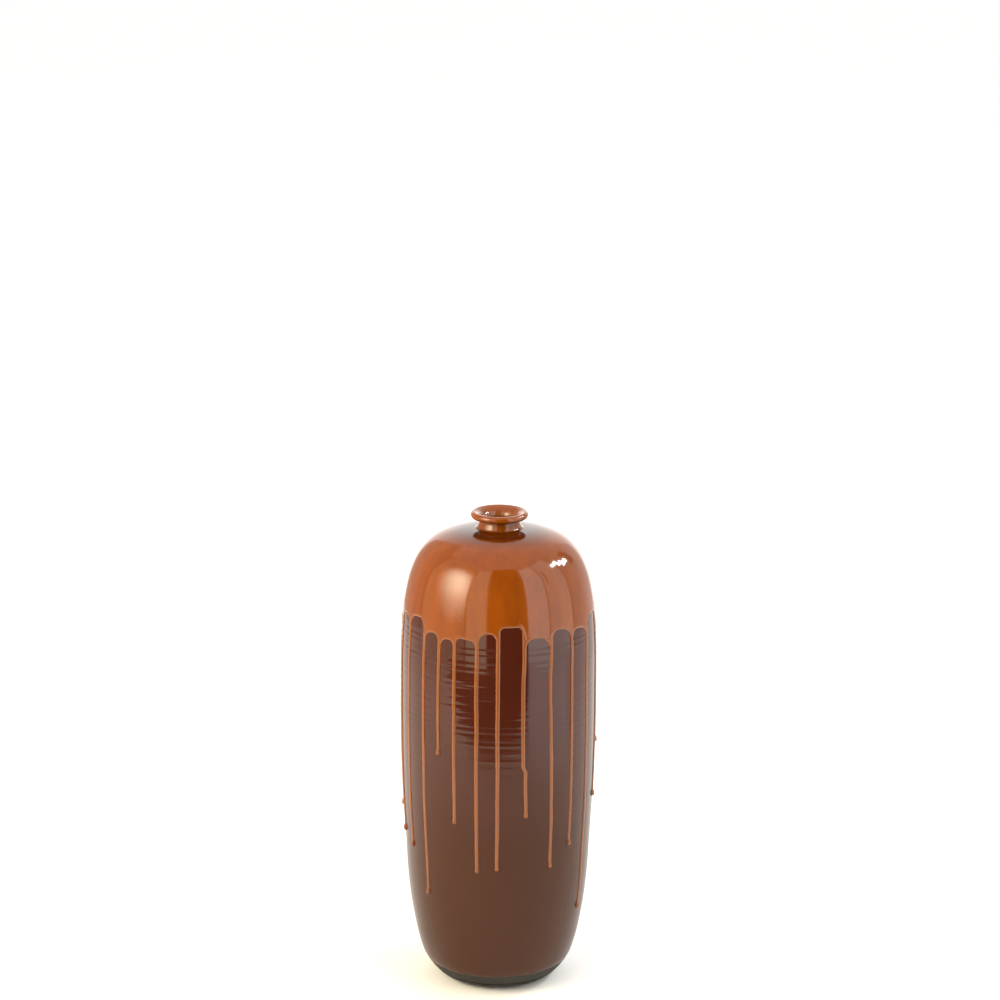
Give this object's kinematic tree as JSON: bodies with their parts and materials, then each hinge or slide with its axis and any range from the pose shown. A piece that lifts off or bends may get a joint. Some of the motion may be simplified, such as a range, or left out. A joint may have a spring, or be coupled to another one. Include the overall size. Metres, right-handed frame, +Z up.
{
  "type": "stoneware floor vase",
  "caption": "Tall wheel-thrown stoneware vase with a rounded shoulder, small rolled lip and amber glaze runs over dark glaze.",
  "frame": {"origin": "on the vase's axis, at the level that the foot stands on", "axes": "+Z up along the vase's axis, -Y towards the front"},
  "size_m": [0.1959, 0.1947, 0.48],
  "materials": {
    "bare_clay": "bare fired stoneware, dark and matt",
    "body_clay": "fired stoneware under glaze",
    "liner": "brown glaze inside, gloss",
    "dark_iron_glaze": "dark iron glaze, gloss to satin",
    "amber_glaze": "poured amber glaze, gloss",
    "run_glaze": "trailed amber glaze, gloss"
  },
  "bodies": {
    "root": {"foot_ring": "bare_clay", "lower_section": "body_clay", "upper_section": "body_clay", "neck_collar": "body_clay", "liner_glaze": "liner", "dark_glaze": "dark_iron_glaze", "amber_glaze": "amber_glaze", "glaze_run_01": "run_glaze", "glaze_run_02": "run_glaze", "glaze_run_03": "run_glaze", "glaze_run_04": "run_glaze", "glaze_run_05": "run_glaze", "glaze_run_06": "run_glaze", "glaze_run_07": "run_glaze", "glaze_run_08": "run_glaze", "glaze_run_09": "run_glaze", "glaze_run_10": "run_glaze", "glaze_run_11": "run_glaze", "glaze_run_12": "run_glaze", "glaze_run_13": "run_glaze", "glaze_run_14": "run_glaze", "glaze_run_15": "run_glaze", "glaze_run_16": "run_glaze", "glaze_run_17": "run_glaze", "glaze_run_18": "run_glaze", "glaze_run_19": "run_glaze", "glaze_run_20": "run_glaze", "glaze_run_21": "run_glaze", "glaze_run_22": "run_glaze", "glaze_run_23": "run_glaze", "glaze_run_24": "run_glaze"}
  },
  "joints": []
}
